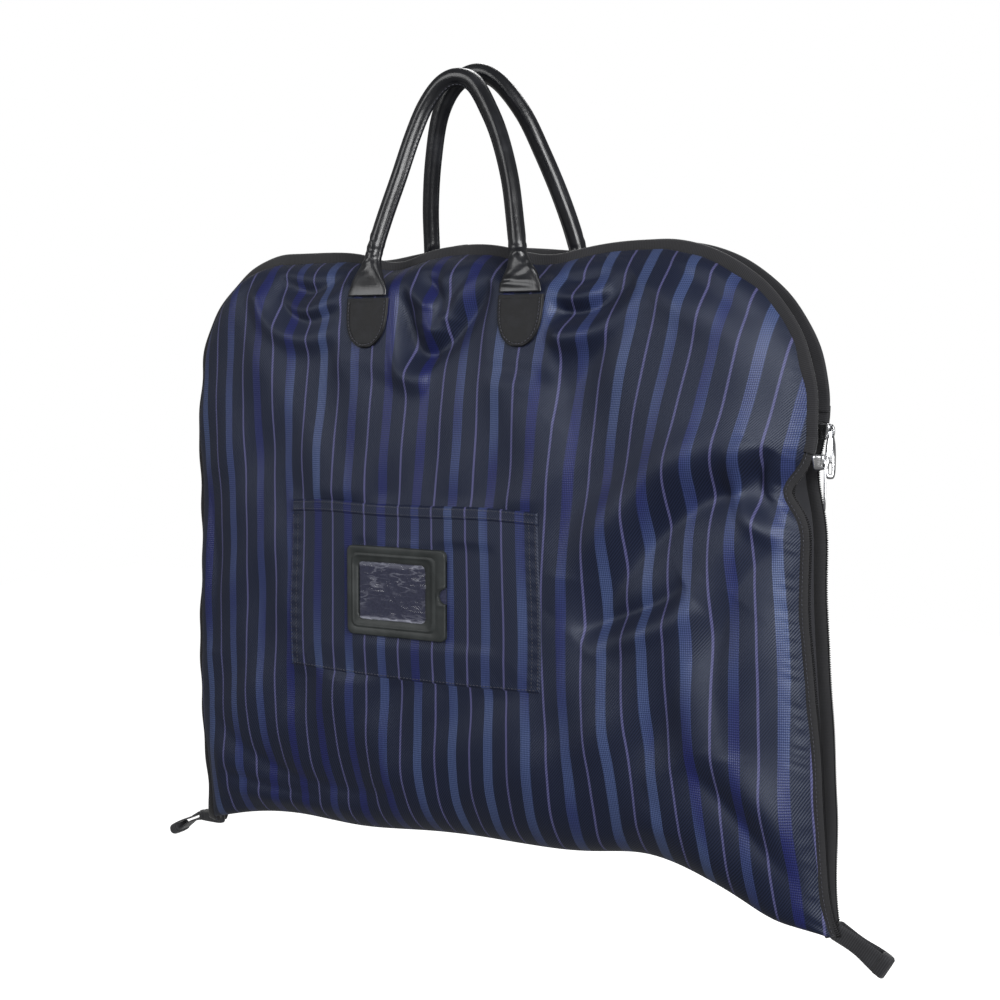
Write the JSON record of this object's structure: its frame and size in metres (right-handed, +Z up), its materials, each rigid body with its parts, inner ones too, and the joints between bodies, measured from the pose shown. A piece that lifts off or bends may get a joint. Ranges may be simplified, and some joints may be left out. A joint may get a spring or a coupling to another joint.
{
  "type": "folding garment bag",
  "caption": "Striped cloth garment bag folded in half, with rolled handles, an edge zip, a patch pocket and a label window.",
  "frame": {"origin": "the grip, midway between the tops of the two handles, on the level of their middle lines", "axes": "+X to the bag's right as seen from the front, +Y towards the back, +Z up from the fold to the handles"},
  "size_m": [0.695, 0.1058, 0.6851],
  "materials": {
    "striped_cloth": "satin twill, near-black navy with blue stripes",
    "lining_cloth": "plain weave",
    "edge_tape": "ribbed tape",
    "zip_tape": "woven tape",
    "zip_coil": "moulded coil",
    "zip_metal": "polished",
    "handle_leather": "glossy smooth",
    "rope": "braided",
    "stiff_board": "stiff sheet",
    "label_plastic": "moulded, fine grain",
    "clear_film": "clear, crinkled",
    "card_paper": "paper card",
    "webbing": "narrow webbing"
  },
  "bodies": {
    "back_half": {"back_panel": "striped_cloth", "back_lining": "lining_cloth", "back_binding_left": "edge_tape", "back_binding_right": "edge_tape", "back_outer_zip_tape": "zip_tape", "back_outer_zip_coil": "zip_coil", "back_inner_zip_coil": "zip_coil", "back_inner_zip_tape": "zip_tape", "back_zip_end_tab": "edge_tape", "back_handle_patch_left": "handle_leather", "back_handle_stiffener_left": "stiff_board", "back_handle_patch_right": "handle_leather", "back_handle_stiffener_right": "stiff_board"},
    "front_half": {"front_panel": "striped_cloth", "front_lining": "lining_cloth", "front_binding": "edge_tape", "front_outer_zip_tape": "zip_tape", "front_outer_zip_coil": "zip_coil", "front_inner_zip_coil": "zip_coil", "front_inner_zip_tape": "zip_tape", "front_zip_end_tab": "edge_tape", "front_handle_patch_left": "handle_leather", "front_handle_stiffener_left": "stiff_board", "front_handle_patch_right": "handle_leather", "front_handle_stiffener_right": "stiff_board", "pocket_panel": "striped_cloth", "pocket_hem": "striped_cloth", "label_frame": "label_plastic", "label_backing": "label_plastic", "label_film": "clear_film"},
    "front_handle": {"front_handle_cover": "handle_leather", "front_handle_core": "rope"},
    "back_handle": {"back_handle_cover": "handle_leather", "back_handle_core": "rope"},
    "front_slider": {"front_zip_slider": "zip_metal"},
    "back_slider": {"back_zip_slider": "zip_metal"},
    "front_pull": {"front_zip_pull": "zip_metal"},
    "back_pull": {"back_zip_pull": "zip_metal"},
    "card": {"label_card": "card_paper"},
    "left_loop": {"corner_loop_left": "webbing"},
    "right_loop": {"corner_loop_right": "webbing"}
  },
  "joints": [
    {"name": "bag_unfold", "type": "hinge", "parent": "back_half", "child": "front_half", "pos_m": [0, 0, -0.65241], "axis": [1, 0, 0], "range_deg": [0, 180]},
    {"name": "front_handle_fold", "type": "hinge", "parent": "front_half", "child": "front_handle", "pos_m": [0, -0.04048, -0.17241], "axis": [1, 0, 0], "range_deg": [0, 155]},
    {"name": "front_zip_slide", "type": "slide", "parent": "front_half", "child": "front_slider", "axis": [0.0346, 0, -0.9994], "range_m": [0, 0.28]},
    {"name": "front_pull_swing", "type": "hinge", "parent": "front_slider", "child": "front_pull", "pos_m": [0.29466, -0.0068, -0.29864], "axis": [0, -1, 0], "range_deg": [0, 170]},
    {"name": "back_handle_fold", "type": "hinge", "parent": "back_half", "child": "back_handle", "pos_m": [0, 0.04048, -0.17241], "axis": [-1, 0, 0], "range_deg": [0, 155]},
    {"name": "back_zip_slide", "type": "slide", "parent": "back_half", "child": "back_slider", "axis": [0.0346, 0, -0.9994], "range_m": [0, 0.3]},
    {"name": "back_pull_swing", "type": "hinge", "parent": "back_slider", "child": "back_pull", "pos_m": [0.2939, 0.0068, -0.27664], "axis": [0, -1, 0], "range_deg": [0, 170]},
    {"name": "card_slide", "type": "slide", "parent": "front_half", "child": "card", "axis": [1, 0, 0], "range_m": [0, 0.09]},
    {"name": "left_loop_swing", "type": "hinge", "parent": "back_half", "child": "left_loop", "pos_m": [-0.3093, 0, -0.64741], "axis": [0, 1, 0], "range_deg": [-45, 100]},
    {"name": "right_loop_swing", "type": "hinge", "parent": "back_half", "child": "right_loop", "pos_m": [0.3133, 0, -0.64741], "axis": [0.5, 0, 0.866], "range_deg": [-80, 80]}
  ]
}
